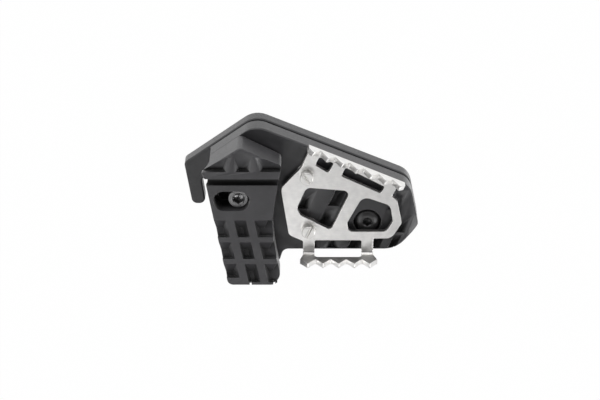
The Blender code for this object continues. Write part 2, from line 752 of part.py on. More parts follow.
def tooth_tool(name, line, top, first_tooth, teeth):
    """Cutter with a row of V-shaped valleys between narrow-topped teeth."""
    start, along, inward, length = flange_frame(line)
    root = top - TOOTH_DEPTH
    high = top + BEYOND
    flat = TOOTH_FLAT / 2
    profile = [(-BEYOND, high), (-BEYOND, root), (first_tooth - TOOTH_PITCH / 2 + flat, root)]
    for tooth in range(teeth):
        middle = first_tooth + tooth * TOOTH_PITCH
        profile += [(middle - flat, top), (middle + flat, top)]
        valley = middle + TOOTH_PITCH / 2
        profile.append((valley - flat, root))
        if tooth < teeth - 1:
            profile.append((valley + flat, root))
    profile += [(length + BEYOND * 2, root), (length + BEYOND * 2, high)]

    def place(way, z, across):
        return (*(start + along * way + inward * across), z)

    return extruded(name, profile, place, (-BEYOND, SHEET + BEYOND))


def free_end_tools(line, free_ends):
    """Frees both ends of a flange from the sheet and rounds their lower corners."""
    start, along, inward, length = flange_frame(line)
    tools = []
    low = SHEET_BACK - TREAD_STANDOFF / 2
    bend_end = SHEET_TOP + BEND_RADIUS
    radius = TOP_END_ROUNDING

    def place(way, z, across):
        return (*(start + along * way + inward * across), z)

    for side, end, back, free in (("left", 0.0, 1, free_ends[0]), ("right", length, -1, free_ends[1])):
        past = end - back * BEYOND
        corner = [(end + back * radius, low), (past, low), (past, SHEET_BACK + radius)]
        steps = 5
        for step in range(steps + 1):
            angle = pi / 2 * step / steps
            corner.append((end + back * radius * (1 - cos(angle)), SHEET_BACK + radius * (1 - sin(angle))))
        tools.append(extruded("free_corner_" + side, corner, place, (-BEYOND, SHEET + BEYOND)))
        inner = end + back * free
        lap = [(past, low), (inner, low), (inner, bend_end), (past, bend_end)]
        tools.append(extruded("free_lap_" + side, lap, place, (SHEET, SHEET + FREE_LAP_REACH)))
    return tools


def bar_tools():
    """Opens the bottom flange under its bar, between the legs and beside them."""
    low = SHEET_BACK - TREAD_STANDOFF / 2
    bar = BAR_TOP - BAR_HEIGHT
    valley = BAR_TOP - TOOTH_DEPTH
    bend = SHEET_TOP + BEND_RADIUS * 1.2
    reach = (BAR_FACE - BEYOND, BAR_FACE + BEND_RADIUS + SHEET + FLANGE_LAP * 1.6)
    left_far = BAR_LEFT - BEYOND
    right_far = BAR_RIGHT + BEYOND
    inner = [(LEG_LEFT[1], low), (LEG_RIGHT[0], low), (LEG_RIGHT[0], bar - BAR_FLARE)]
    inner += [(LEG_RIGHT[0] - BAR_FLARE, bar), (LEG_LEFT[1] + BAR_FLARE, bar)]
    inner.append((LEG_LEFT[1], bar - BAR_FLARE))
    left = [(left_far, low), (LEG_LEFT[0], low), (LEG_LEFT[0], bend), (BAR_LEFT, valley)]
    left.append((left_far, valley))
    right = [(right_far, low), (LEG_RIGHT[1], low), (LEG_RIGHT[1], bend), (BAR_RIGHT, valley)]
    right.append((right_far, valley))
    parts = {"inner": inner, "left": left, "right": right}
    return [extruded("bar_" + side, parts[side], lambda x, z, y: (x, y, z), reach) for side in parts]


def in_metres(corners):
    """Corners given in mm, turned into metres."""
    return [(x * MM, y * MM, radius * MM) for x, y, radius in corners]


def tread_outline():
    """Flat of the tread plate between its two flanges."""
    lap = BEND_RADIUS + SHEET + FLANGE_LAP / 2
    start, along, inward, length = flange_frame(TOP_FLANGE)
    left = start + along * (TOP_FREE_ENDS[0] - SHEET_PAST_FREE) + inward * lap
    right = start + along * (length - TOP_FREE_ENDS[1]) + inward * lap
    foot = BAR_FACE + lap
    return rounded([
        (left.x, left.y, 0.0),
        *in_metres(SHEET_LEFT),
        (LEG_LEFT[0], SHEET_FOOT[0] - SHEET_FOOT_STEP, FOOT_ROUNDING),
        (LEG_LEFT[0], foot, 0.0),
        (LEG_LEFT[1], foot, 0.0),
        (LEG_LEFT[1], SHEET_FOOT[0], FOOT_ROUNDING),
        (LEG_RIGHT[0], SHEET_FOOT[0], FOOT_ROUNDING),
        (LEG_RIGHT[0], foot, 0.0),
        (LEG_RIGHT[1], foot, 0.0),
        (LEG_RIGHT[1], SHEET_FOOT[1], FOOT_ROUNDING),
        *in_metres(SHEET_RIGHT),
        (right.x, right.y, 0.0),
    ])


def window_tool(name, corners):
    """Cutter for one window of the tread plate."""
    outline = rounded(in_metres(corners))
    return loft(name, [(outline, SHEET_BACK - TREAD_STANDOFF / 2), (outline, SHEET_TOP + BEYOND)])


def make_tread_plate(material):
    """Stainless sheet with four windows and two toothed flanges bent up."""
    sheet = tread_outline()
    item = loft("tread_plate", [(sheet, SHEET_BACK), (sheet, SHEET_TOP)], material)
    fuse(
        item,
        flange("top_flange", TOP_FLANGE, TOP_FLANGE_HEIGHT, TOP_FIRST_TOOTH, TOP_TEETH, TOP_FREE_ENDS),
        flange("bottom_flange", BOTTOM_FLANGE, BAR_FLANGE_HEIGHT, TOOTH_PITCH / 2, BOTTOM_TEETH),
    )
    cut(item, *bar_tools())
    for place, corners in WINDOWS.items():
        cut(item, window_tool("window_" + place, corners))
    low = SHEET_BACK - BEYOND / 2
    for side, at in TREAD_SCREWS_AT.items():
        cut(item, drill("tread_hole_" + side, TREAD_SHANK + CLEAR, low, SHEET_TOP + BEYOND, at, 24))
    return item


def make_step_screw(material):
    """Socket-head screw that clamps the step in its slot."""
    seat = STEP_FOOT + SLOT_FLOOR + CLEAR
    top = seat + STEP_HEAD_HEIGHT
    foot = FACE - INSERT_LENGTH - STEP_SCREW_PAST
    profile = [(STEP_SHANK - RIM_BREAK, foot), (STEP_SHANK, foot + RIM_BREAK), (STEP_SHANK, seat)]
    profile += [(STEP_HEAD, seat), (STEP_HEAD, top - RIM_BREAK), (STEP_HEAD - RIM_BREAK, top)]
    item = turned("step_screw", profile, STEP_SCREW_AT, 40, material)
    cut(item, hexagon_tool("step_hex", STEP_HEX, top - STEP_HEX_DEPTH, top + BEYOND, STEP_SCREW_AT))
    return item


def make_clamp_screw(material):
    """Flanged button-head screw that sits flush in the front body."""
    seat = FACE - CLAMP_HEAD_HEIGHT
    rim = seat + CLAMP_RIM
    foot = CLAMP_NUT_RIM
    profile = [(CLAMP_SHANK - RIM_BREAK, foot), (CLAMP_SHANK, foot + RIM_BREAK), (CLAMP_SHANK, seat)]
    profile.append((CLAMP_HEAD - CLAMP_RIM_BREAK, seat))
    profile += [(CLAMP_HEAD, seat + CLAMP_RIM_BREAK), (CLAMP_HEAD, rim)]
    dome = CLAMP_HEAD - CLAMP_DOME_STEP
    rise = CLAMP_HEAD_HEIGHT - (rim - seat)
    steps = 6
    for step in range(steps):
        angle = pi / 2 * step / steps
        profile.append((dome * cos(angle * 0.72), rim + CLAMP_RIM_BREAK / 2 + rise * sin(angle)))
    item = turned("clamp_screw", profile, CLAMP_AT, 48, material)
    cut(item, hexagon_tool("clamp_hex", CLAMP_HEX, FACE - CLAMP_HEX_DEPTH, FACE + BEYOND, CLAMP_AT))
    return item


def make_clamp_nut(material):
    """Flanged nut let into the rear plate from behind."""
    low = CLEAR
    rim = CLAMP_NUT_RIM
    top = REAR_THICK - CLEAR
    bore = CLAMP_SHANK + CLEAR
    profile = [(CLAMP_NUT_FLANGE, low), (CLAMP_NUT_FLANGE, rim)]
    profile += [(CLAMP_NUT_BARREL, rim), (CLAMP_NUT_BARREL, top)]
    item = turned("clamp_nut", profile, CLAMP_AT, 40, material)
    cut(item, drill("clamp_nut_bore", bore, -BEYOND, top + BEYOND, CLAMP_AT))
    return item


def make_joining_screw(side, at, material):
    """Countersunk screw put in from behind."""
    low = CLEAR
    sink = JOINING_HEAD - JOINING_SHANK
    foot = BODY_BACK + INSERT_LENGTH
    profile = [(JOINING_HEAD - CLEAR, low), (JOINING_SHANK, low + sink - CLEAR)]
    profile += [(JOINING_SHANK, foot - RIM_BREAK), (JOINING_SHANK - RIM_BREAK, foot)]
    item = turned("joining_screw_" + side, profile, at, 32, material)
    cut(item, hexagon_tool("joining_hex_" + side, JOINING_HEX, -BEYOND, low + JOINING_HEX_DEPTH, at))
    return item


def make_tread_screw(side, at, material):
    """Slotted cheese-head screw that holds the tread plate."""
    seat = SHEET_TOP + CLEAR
    top = seat + TREAD_HEAD_HEIGHT
    foot = FACE - INSERT_LENGTH
    profile = [(TREAD_SHANK - RIM_BREAK, foot), (TREAD_SHANK, foot + RIM_BREAK), (TREAD_SHANK, seat)]
    profile += [(TREAD_HEAD, seat), (TREAD_HEAD, top - RIM_BREAK), (TREAD_HEAD - RIM_BREAK, top)]
    item = turned("tread_screw_" + side, profile, at, 32, material)
    width = 3 * TREAD_HEAD
    low = top - TREAD_SLOT_DEPTH
    cut(item, block_tool("slot_" + side, width, TREAD_SLOT_WIDTH, low, top + BEYOND, at, TREAD_SLOTS[side]))
    return item


def build():
    """Make every piece."""
    clear_scene()
    black = finish_material("black_anodised", (0.022, 0.022, 0.024), 0.55, 0.48)
    steel = finish_material("stainless_sheet", (0.62, 0.61, 0.59), 1.0, 0.36)
    dark_steel = finish_material("black_screw", (0.03, 0.03, 0.032), 0.7, 0.38)
    bright_steel = finish_material("bright_screw", (0.72, 0.71, 0.68), 1.0, 0.25)
    make_rear_plate(black)
    make_front_body(black)
    make_step_block(black)
    make_tread_plate(steel)
    make_step_screw(dark_steel)
    make_clamp_screw(dark_steel)
    make_clamp_nut(bright_steel)
    gap = (REAR_THICK + CLEAR, BODY_BACK - CLEAR)
    insert = (FACE - CLEAR - INSERT_LENGTH, FACE - CLEAR)
    standoff = (FACE + CLEAR, SHEET_BACK - CLEAR)
    clamp_bore = CLAMP_SHANK + CLEAR
    ring("clamp_spacer", clamp_bore, SPACER_WALL, gap, CLAMP_AT, bright_steel)
    ring("step_insert", STEP_SHANK + CLEAR, INSERT_WALL, insert, STEP_SCREW_AT, bright_steel)
    for side, at in TREAD_SCREWS_AT.items():
        make_tread_screw(side, at, bright_steel)
        bore = TREAD_SHANK + CLEAR
        ring("tread_spacer_" + side, bore, SPACER_WALL, standoff, at, bright_steel)
        ring("tread_insert_" + side, bore, INSERT_WALL, insert, at, bright_steel)
    rear_insert = (BODY_BACK + CLEAR, BODY_BACK + CLEAR + INSERT_LENGTH)
    for side, at in JOINING_AT.items():
        make_joining_screw(side, at, dark_steel)
        bore = JOINING_SHANK + CLEAR
        ring("joining_spacer_" + side, bore, SPACER_WALL, gap, at, bright_steel)
        ring("joining_insert_" + side, bore, INSERT_WALL, rear_insert, at, bright_steel)


build()
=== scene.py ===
# A brake pedal extension: two black machined plates that clamp on the pedal, a milled
# step and a bent stainless tread.  It lies on its back, with the tread upwards.
import math
import bmesh
import bpy
import numpy as np
from mathutils import Matrix, Vector


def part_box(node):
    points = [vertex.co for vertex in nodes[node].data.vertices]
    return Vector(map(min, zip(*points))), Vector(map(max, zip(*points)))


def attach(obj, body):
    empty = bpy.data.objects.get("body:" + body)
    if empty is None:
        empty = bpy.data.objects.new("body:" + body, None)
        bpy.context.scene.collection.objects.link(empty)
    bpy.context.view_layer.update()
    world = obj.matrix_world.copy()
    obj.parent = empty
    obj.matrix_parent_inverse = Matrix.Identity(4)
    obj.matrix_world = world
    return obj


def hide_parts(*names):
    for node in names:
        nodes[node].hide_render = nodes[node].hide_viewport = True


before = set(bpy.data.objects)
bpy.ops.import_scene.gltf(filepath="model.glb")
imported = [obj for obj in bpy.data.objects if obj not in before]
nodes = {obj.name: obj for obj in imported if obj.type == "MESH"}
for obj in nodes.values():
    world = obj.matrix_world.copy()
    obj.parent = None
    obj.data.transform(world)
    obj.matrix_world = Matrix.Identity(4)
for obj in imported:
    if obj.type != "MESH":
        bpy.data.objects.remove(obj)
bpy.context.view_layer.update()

scene = bpy.context.scene


# The camera of the photograph: a long lens a metre away, 26 degrees off the tread's
# own normal towards the plates' peak, which points up in the picture.
tilt = math.radians(26)
aim = Vector((0, 0.00974, 0.020))
lens_back = Vector((0, math.sin(tilt), math.cos(tilt)))
lens_up = Vector((0, math.cos(tilt), -math.sin(tilt)))
lens_right = lens_up.cross(lens_back)
camera = bpy.data.objects.new("camera", bpy.data.cameras.new("camera"))
camera.data.lens = 120
camera.data.sensor_width = 36
turn = Matrix((lens_right, lens_up, lens_back)).transposed().to_4x4()
camera.matrix_world = Matrix.Translation(aim + lens_back) @ turn
scene.collection.objects.link(camera)
scene.camera = camera


# The studio table: plain white, and a hair below the plates' flat back.  It shows as
# pure white to the lens and in the metal, and keeps a soft shadow.
def node_chain(name):
    """A new material with its shader, its nodes and its links at hand."""
    material = bpy.data.materials.new(name)
    material.use_nodes = True
    tree = material.node_tree
    return material, tree.nodes["Principled BSDF"], tree.nodes, tree.links


white_share = 0.99
table_white, table_shader, made, links = node_chain("table_white")
table_shader.inputs["Base Color"].default_value = (0.8, 0.8, 0.8, 1)
table_shader.inputs["Roughness"].default_value = 0.9
table_shader.inputs["Specular IOR Level"].default_value = 0.0
glow = made.new("ShaderNodeEmission")
glow.inputs["Color"].default_value = (1, 1, 1, 1)
glow.inputs["Strength"].default_value = 1.0
seen = made.new("ShaderNodeLightPath")
mirrored_or_through = made.new("ShaderNodeMath")
mirrored_or_through.operation = "MAXIMUM"
seen_or_mirrored = made.new("ShaderNodeMath")
seen_or_mirrored.operation = "MAXIMUM"
share = made.new("ShaderNodeMath")
share.operation = "MULTIPLY"
share.inputs[1].default_value = white_share
table_mix = made.new("ShaderNodeMixShader")
links.new(seen.outputs["Is Glossy Ray"], mirrored_or_through.inputs[0])
links.new(seen.outputs["Is Transmission Ray"], mirrored_or_through.inputs[1])
links.new(seen.outputs["Is Camera Ray"], seen_or_mirrored.inputs[0])
links.new(mirrored_or_through.outputs[0], seen_or_mirrored.inputs[1])
links.new(seen_or_mirrored.outputs[0], share.inputs[0])
links.new(share.outputs[0], table_mix.inputs[0])
links.new(table_shader.outputs[0], table_mix.inputs[1])
links.new(glow.outputs[0], table_mix.inputs[2])
links.new(table_mix.outputs[0], made["Material Output"].inputs["Surface"])

table_reach = 3.0
table_drop = 0.0002
corners = np.array([[-1, -1], [1, -1], [1, 1], [-1, 1]]) * table_reach
corners = np.column_stack([corners, np.full(4, -table_drop)])
table_mesh = bpy.data.meshes.new("table")
table_mesh.from_pydata(corners.tolist(), [], [(0, 1, 2, 3)])
table_mesh.materials.append(table_white)
table = bpy.data.objects.new("table", table_mesh)
scene.collection.objects.link(table)


# The studio lamps: two broad softboxes low beyond the plates' peak, which light the
# walls, a small one at the near right, and one overhead at the left, in a dim room.
room_light = 0.05


def softbox(name, towards, distance, width, height, power):
    """A rectangular lamp that stands off the object along a direction and faces it."""
    lamp = bpy.data.lights.new(name, "AREA")
    lamp.shape = "RECTANGLE"
    lamp.size = width
    lamp.size_y = height
    lamp.energy = power
    item = bpy.data.objects.new(name, lamp)
    way = Vector(towards).normalized()
    item.location = aim + way * distance
    item.rotation_mode = "QUATERNION"
    item.rotation_quaternion = way.to_track_quat("Z", "Y")
    scene.collection.objects.link(item)


softbox("peak_side_lamp", (-0.6, 0.85, 0.36), distance=1.1, width=2.0, height=0.72, power=7.6)
softbox("far_side_lamp", (0.75, 0.85, 0.36), distance=1.1, width=2.0, height=0.72, power=6.0)
softbox("side_lamp", (0.62, -0.42, 0.66), distance=1.2, width=0.35, height=0.5, power=6.0)
softbox("overhead_lamp", (-0.5, -0.44, 0.88), distance=1.2, width=1.25, height=0.8, power=5.9)

surroundings = bpy.data.worlds.new("surroundings")
surroundings.use_nodes = True
surroundings.node_tree.nodes["Background"].inputs["Color"].default_value = (1, 1, 1, 1)
surroundings.node_tree.nodes["Background"].inputs["Strength"].default_value = room_light
scene.world = surroundings
scene.view_settings.view_transform = "Standard"


# The rear plate lies behind the pedal and hooks round its lever: aluminium, milled,
# bead-blasted and anodised black, with every edge broken by a fine round.
plate_round = 0.00025
sharp_turn = math.radians(25)
sliver_turn = math.radians(28)
flat_turn = math.radians(0.3)
weld_gap = 2e-6
needle_length = 6e-5
edges_at_a_corner = 7


def edge_weights(mesh):
    """1 on each edge where two faces meet sharply, and 0 on all others.

    Where two such edges leave a corner closer together than a sliver, both get 0,
    because a round on them would run far past the corner."""
    edge_count = len(mesh.edges)
    ends = np.empty(edge_count * 2, dtype=np.int32)
    mesh.edges.foreach_get("vertices", ends)
    ends = ends.reshape(-1, 2)
    points = np.empty(len(mesh.vertices) * 3)
    mesh.vertices.foreach_get("co", points)
    points = points.reshape(-1, 3)
    normals = np.empty(len(mesh.polygons) * 3)
    mesh.polygons.foreach_get("normal", normals)
    normals = normals.reshape(-1, 3)
    sides = np.empty(len(mesh.polygons), dtype=np.int32)
    mesh.polygons.foreach_get("loop_total", sides)
    loop_edges = np.empty(len(mesh.loops), dtype=np.int32)
    mesh.loops.foreach_get("edge_index", loop_edges)
    faces = np.repeat(np.arange(len(sides)), sides)[np.argsort(loop_edges, kind="stable")]
    turned_by = np.einsum("ij,ij->i", normals[faces[0::2]], normals[faces[1::2]])
    weights = (turned_by < math.cos(sharp_turn)).astype(float)
    sharp = np.flatnonzero(weights)
    corner_of = np.concatenate([ends[sharp, 0], ends[sharp, 1]])
    edge_of = np.concatenate([sharp, sharp])
    way = points[ends[sharp, 1]] - points[ends[sharp, 0]]
    way /= np.linalg.norm(way, axis=1, keepdims=True)
    way = np.concatenate([way, -way])
    order = np.argsort(corner_of, kind="stable")
    corner_of = corner_of[order]
    edge_of = edge_of[order]
    way = way[order]
    for step in range(1, edges_at_a_corner):
        same = corner_of[step:] == corner_of[:-step]
        close = np.einsum("ij,ij->i", way[step:], way[:-step]) > math.cos(sliver_turn)
        weights[edge_of[step:][same & close]] = 0.0
        weights[edge_of[:-step][same & close]] = 0.0
    return weights


def milled_copy(node, name, body, radius, flat_joined=False):
    """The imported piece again, its loose triangles joined and its edges rounded."""
    bm = bmesh.new()
    bm.from_mesh(nodes[node].data)
    bmesh.ops.remove_doubles(bm, verts=bm.verts, dist=weld_gap)
    if flat_joined:
        bmesh.ops.dissolve_limit(bm, angle_limit=flat_turn, verts=bm.verts, edges=bm.edges)
    else:
        bmesh.ops.dissolve_degenerate(bm, dist=needle_length, edges=bm.edges)
    mesh = bpy.data.meshes.new(name)
    bm.to_mesh(mesh)
    bm.free()
    mesh.shade_smooth()
    weights = mesh.attributes.new("bevel_weight_edge", "FLOAT", "EDGE")
    weights.data.foreach_set("value", edge_weights(mesh))
    item = bpy.data.objects.new(name, mesh)
    scene.collection.objects.link(item)
    rounding = item.modifiers.new("broken_edges", "BEVEL")
    rounding.width = radius
    rounding.segments = 2
    rounding.limit_method = "WEIGHT"
    rounding.use_clamp_overlap = False
    settled = item.modifiers.new("flat_faces_stay_flat", "WEIGHTED_NORMAL")
    settled.weight = 100
    settled.keep_sharp = True
    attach(item, body)
    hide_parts(node)
    return item


def dressed(item, material):
    """Give a piece its one material."""
    item.data.materials.clear()
    item.data.materials.append(material)


noise_low = 0.3
noise_high = 0.7


def grain(made, links, place, scale, detail, low, high):
    """Noise on the piece's own coordinates, spread between two values."""
    noise = made.new("ShaderNodeTexNoise")
    noise.inputs["Scale"].default_value = scale
    noise.inputs["Detail"].default_value = detail
    links.new(place, noise.inputs["Vector"])
    spread = made.new("ShaderNodeMapRange")
    spread.inputs["From Min"].default_value = noise_low
    spread.inputs["From Max"].default_value = noise_high
    spread.inputs["To Min"].default_value = low
    spread.inputs["To Max"].default_value = high
    links.new(noise.outputs["Fac"], spread.inputs["Value"])
    return spread.outputs["Result"]


def mixed(made, links, factor, first, second):
    """Blend of two colours, each a colour or another node's output, by a factor."""
    mix = made.new("ShaderNodeMix")
    mix.data_type = "RGBA"
    links.new(factor, mix.inputs["Factor"])
    for socket, colour in ((mix.inputs["A"], first), (mix.inputs["B"], second)):
        if isinstance(colour, tuple):
            socket.default_value = (*colour, 1)
        else:
            links.new(colour, socket)
    return mix.outputs["Result"]


def bumped(made, links, height, strength, distance):
    """Normal that a height pattern roughens."""
    bump = made.new("ShaderNodeBump")
    bump.inputs["Strength"].default_value = strength
    bump.inputs["Distance"].default_value = distance
    links.new(height, bump.inputs["Height"])
    return bump.outputs["Normal"]


# Painted highlight: every edge of the black is painted paler than the flat.
edge_highlight_reach = 0.0005
edge_highlight_share = 0.35
edge_highlight_begins = 0.99
edge_highlight_is_full = 0.86
painted_edge_highlight = (0.11, 0.11, 0.115)


def painted_edge_highlight_mask(made, links):
    """How much painted highlight the surface takes: 0 on the flat, and rising to the full share on an
    edge.

    An edge shows where the rounded normal turns away from the true one."""
    flat = made.new("ShaderNodeNewGeometry")
    round_edge = made.new("ShaderNodeBevel")
    round_edge.samples = 4
    round_edge.inputs["Radius"].default_value = edge_highlight_reach
    turned_by = made.new("ShaderNodeVectorMath")
    turned_by.operation = "DOT_PRODUCT"
    links.new(round_edge.outputs["Normal"], turned_by.inputs[0])
    links.new(flat.outputs["True Normal"], turned_by.inputs[1])
    highlit = made.new("ShaderNodeMapRange")
    highlit.inputs["From Min"].default_value = edge_highlight_begins
    highlit.inputs["From Max"].default_value = edge_highlight_is_full
    highlit.inputs["To Min"].default_value = 0.0
    highlit.inputs["To Max"].default_value = edge_highlight_share
    links.new(turned_by.outputs["Value"], highlit.inputs["Value"])
    return highlit.outputs["Result"]


# Painted shade: the black is painted near black deep in the pockets.
painted_shade_reach = 0.006
painted_shade_is_full = 0.62
painted_shade_is_none = 0.97
painted_pocket_shade = (0.004, 0.004, 0.004)


def openness_for_painted_shade(made, links):
    """How open the surface lies, for the painted shade: 0 deep in a pocket, where the shade is full, and
    1 on a face with nothing above it.
    """
    shelter = made.new("ShaderNodeAmbientOcclusion")
    shelter.samples = 8
    shelter.only_local = True
    shelter.inputs["Distance"].default_value = painted_shade_reach
    spread = made.new("ShaderNodeMapRange")
    spread.inputs["From Min"].default_value = painted_shade_is_full
    spread.inputs["From Max"].default_value = painted_shade_is_none
    links.new(shelter.outputs["AO"], spread.inputs["Value"])
    return spread.outputs["Result"]


dye_clouds = 160
polish_clouds = 900
blast_grain = 5200
blast_height = 4e-5


def anodised_black(name, dark, pale, rough):
    """Black anodising on blasted aluminium: a fine even grain and faint clouds in the dyed black, painted
    shade that deepens the black in the pockets, and a painted highlight that makes every edge paler."""
    material, shader, made, links = node_chain(name)
    place = made.new("ShaderNodeTexCoord").outputs["Object"]
    dyed = grain(made, links, place, dye_clouds, detail=3, low=0.0, high=1.0)
    clouds = mixed(made, links, dyed, dark, pale)
    # Painted shade darkens the pockets, and below it a painted highlight pales the edges.
    dye_and_painted_shade = mixed(made, links, openness_for_painted_shade(made, links), painted_pocket_shade, clouds)
    dye_with_painted_light = mixed(made, links, painted_edge_highlight_mask(made, links), dye_and_painted_shade, painted_edge_highlight)
    polish = grain(made, links, place, polish_clouds, detail=4, low=rough - 0.05, high=rough + 0.05)
    blasted = grain(made, links, place, blast_grain, detail=2, low=0.0, high=1.0)
    links.new(dye_with_painted_light, shader.inputs["Base Color"])
    links.new(polish, shader.inputs["Roughness"])
    links.new(bumped(made, links, blasted, 0.35, blast_height), shader.inputs["Normal"])
    shader.inputs["IOR"].default_value = 1.58
    shader.inputs["Sheen Weight"].default_value = 0.85
    shader.inputs["Sheen Roughness"].default_value = 0.3
    return material


plate_black = anodised_black("plate_black", (0.022, 0.022, 0.024), (0.031, 0.030, 0.033), 0.38)
rear_plate = milled_copy("rear_plate", "rear_plate_milled", "carrier", plate_round, flat_joined=True)
dressed(rear_plate, plate_black)


# The front body faces the rider: the same milled aluminium, with a wing that carries
# the step, slanted pockets in its face and a flat seat for the clamping screw.
pocket_round = 0.00012
front_body = milled_copy("front_body", "front_body_milled", "carrier", pocket_round)
dressed(front_body, plate_black)


# The step takes the side of the boot: one milled block with a raised lip, a cove at
# its foot, ramps and rows of biting pockets.  It slides on the wing when it is loosened.
# The step's black is a paler copy of the plates' black: painted light that makes the step brighter.
step_black = anodised_black("step_black", (0.030, 0.029, 0.032), (0.041, 0.040, 0.044), 0.4)
step_block = milled_copy("step_block", "step_block_milled", "step", pocket_round)
dressed(step_block, step_black)


# The tread is laser-cut stainless sheet, bent up along two toothed edges and tumbled, so
# its faces are cloudy and finely scratched and its cut edges are broken by a fine round.
sheet_round = 0.00018
tumble_clouds = 330
rolled_grain = 1500
scratch_grain = 420
scratch_turn = math.radians(32)
scratch_stretch = 14.0
scratch_height = 3e-5


def tumbled_steel(name, dark, pale, rough):
    """Stainless steel with soft clouds, fine scratches and a rolled grain."""
    material, shader, made, links = node_chain(name)
    place = made.new("ShaderNodeTexCoord").outputs["Object"]
    stretch = made.new("ShaderNodeMapping")
    stretch.inputs["Scale"].default_value = (1.0, scratch_stretch, 1.0)
    stretch.inputs["Rotation"].default_value = (0, 0, scratch_turn)
    links.new(place, stretch.inputs["Vector"])
    clouds = grain(made, links, place, tumble_clouds, detail=5, low=0.0, high=0.65)
    scratches = grain(made, links, stretch.outputs["Vector"], scratch_grain, detail=5, low=0.0, high=0.35)
    both = made.new("ShaderNodeMath")
    both.operation = "ADD"
    links.new(clouds, both.inputs[0])
    links.new(scratches, both.inputs[1])
    polish = grain(made, links, place, rolled_grain, detail=4, low=rough - 0.06, high=rough + 0.06)
    links.new(mixed(made, links, both.outputs[0], dark, pale), shader.inputs["Base Color"])
    links.new(polish, shader.inputs["Roughness"])
    links.new(bumped(made, links, scratches, 0.5, scratch_height), shader.inputs["Normal"])
    shader.inputs["Metallic"].default_value = 1.0
    return material


tread_steel = tumbled_steel("tread_steel", (0.79, 0.78, 0.77), (0.95, 0.94, 0.92), 0.36)
tread = milled_copy("tread_plate", "tread_plate_bent", "carrier", sheet_round, flat_joined=True)
dressed(tread, tread_steel)


# The two screws that hold the tread: slotted cheese heads, turned from bright steel,
# with the slot's edges and the rim broken by a fine round.
head_round = 0.0002
turned_steel = tumbled_steel("turned_steel", (0.78, 0.77, 0.75), (0.92, 0.91, 0.89), 0.45)
for side in ("upper", "lower"):
    screw_name = "tread_screw_" + side
    cheese_head = milled_copy(screw_name, "cheese_head_" + side, "carrier", head_round, flat_joined=True)
    dressed(cheese_head, turned_steel)


# The step's own screw: black oxide steel, a socket head with a knurled side that sits in
# the step's slot.  Thread, knurls, ringed top and socket are all in one turned surface.
mm = 0.001
around = np.linspace(0, 2 * math.pi, 96, endpoint=False)[None, :]
row_step = 0.00014
smooth_turn = math.radians(38)
half_flat = math.pi / 6
mottle_grain = 1300
oil_grain = 2600


def black_oxide(name, tone, rough):
    """Oiled black oxide on steel: finely mottled, and glossier than the anodising."""
    material, shader, made, links = node_chain(name)
    place = made.new("ShaderNodeTexCoord").outputs["Object"]
    mottle = grain(made, links, place, mottle_grain, detail=4, low=0.0, high=1.0)
    polish = grain(made, links, place, oil_grain, detail=3, low=rough - 0.05, high=rough + 0.07)
    dark = (tone * 0.8, tone * 0.8, tone * 0.82)
    pale = (tone * 1.2, tone * 1.19, tone * 1.2)
    links.new(mixed(made, links, mottle, dark, pale), shader.inputs["Base Color"])
    links.new(polish, shader.inputs["Roughness"])
    shader.inputs["Metallic"].default_value = 0.6
    return material


def ridge(turns):
    """A wave of straight flanks: 0 on the crest and 1 in the root, once in each turn."""
    return 1 - abs(2 * (turns % 1) - 1)


def rows_along(outline):
    """Radius and height of the rows along a turned outline, each straight run cut evenly."""
    outline = np.array(outline) * mm
    cuts = np.ceil(np.hypot(*np.diff(outline, axis=0).T) / row_step).astype(int)
    at = np.concatenate([[0.0]] + [np.arange(1, n + 1) / n + k for k, n in enumerate(cuts)])
    corner = np.arange(len(outline))
    radius = np.interp(at, corner, outline[:, 0])
    height = np.interp(at, corner, outline[:, 1])
    return radius[:, None], height[:, None]


def lathe(name, middle, radius, height):
    """A closed turned surface over rows and angles.

    A point lies at its row's height, at its radius from the axis on its angle.  Fans to a
    point on the axis close the first and the last row."""
    rows, columns = radius.shape
    height = height + 0 * around
    across = middle[0] + radius * np.cos(around)
    along = middle[1] + radius * np.sin(around)
    ring = np.stack([across, along, height], -1).reshape(-1, 3)
    poles = np.array([[*middle, height[0, 0]], [*middle, height[-1, 0]]])
    here = np.arange(rows * columns).reshape(rows, columns)
    beside = np.roll(here, -1, axis=1)
    quads = np.stack([here[:-1], beside[:-1], beside[1:], here[1:]], -1).reshape(-1, 4)
    foot = np.stack([0 * here[0] + here.size, beside[0], here[0]], -1)
    floor = np.stack([0 * here[0] + here.size + 1, here[-1], beside[-1]], -1)
    outwards = 1 if height[0, 0] < height[-1, 0] else -1
    faces = quads[:, ::outwards].tolist() + foot[:, ::outwards].tolist() + floor[:, ::outwards].tolist()
    mesh = bpy.data.meshes.new(name)
    mesh.from_pydata(np.concatenate([ring, poles]).tolist(), [], faces)
    mesh.shade_smooth()
    mesh.set_sharp_from_angle(angle=smooth_turn)
    item = bpy.data.objects.new(name, mesh)
    scene.collection.objects.link(item)
    return item


thread_depth = 0.55
plain_turns = 1.5
lead_in_turns = 0.4
knurl_depth = 0.00012
ring_pitch = 0.0006
ring_depth = 0.00002
mouth_drop = 0.0003
socket_rows = 6
drill_share = 0.4
drill_sink = 0.12
tip = 0.05
foot_chamfer = 0.4
hair = 1e-6


def shank_outline(radius, foot, seat):
    """Along a plain shank: its foot from the middle outwards, a chamfer, and its side."""
    chamfer = math.copysign(foot_chamfer, seat - foot)
    return [(tip, foot), (radius - foot_chamfer, foot), (radius, foot + chamfer), (radius, seat)]


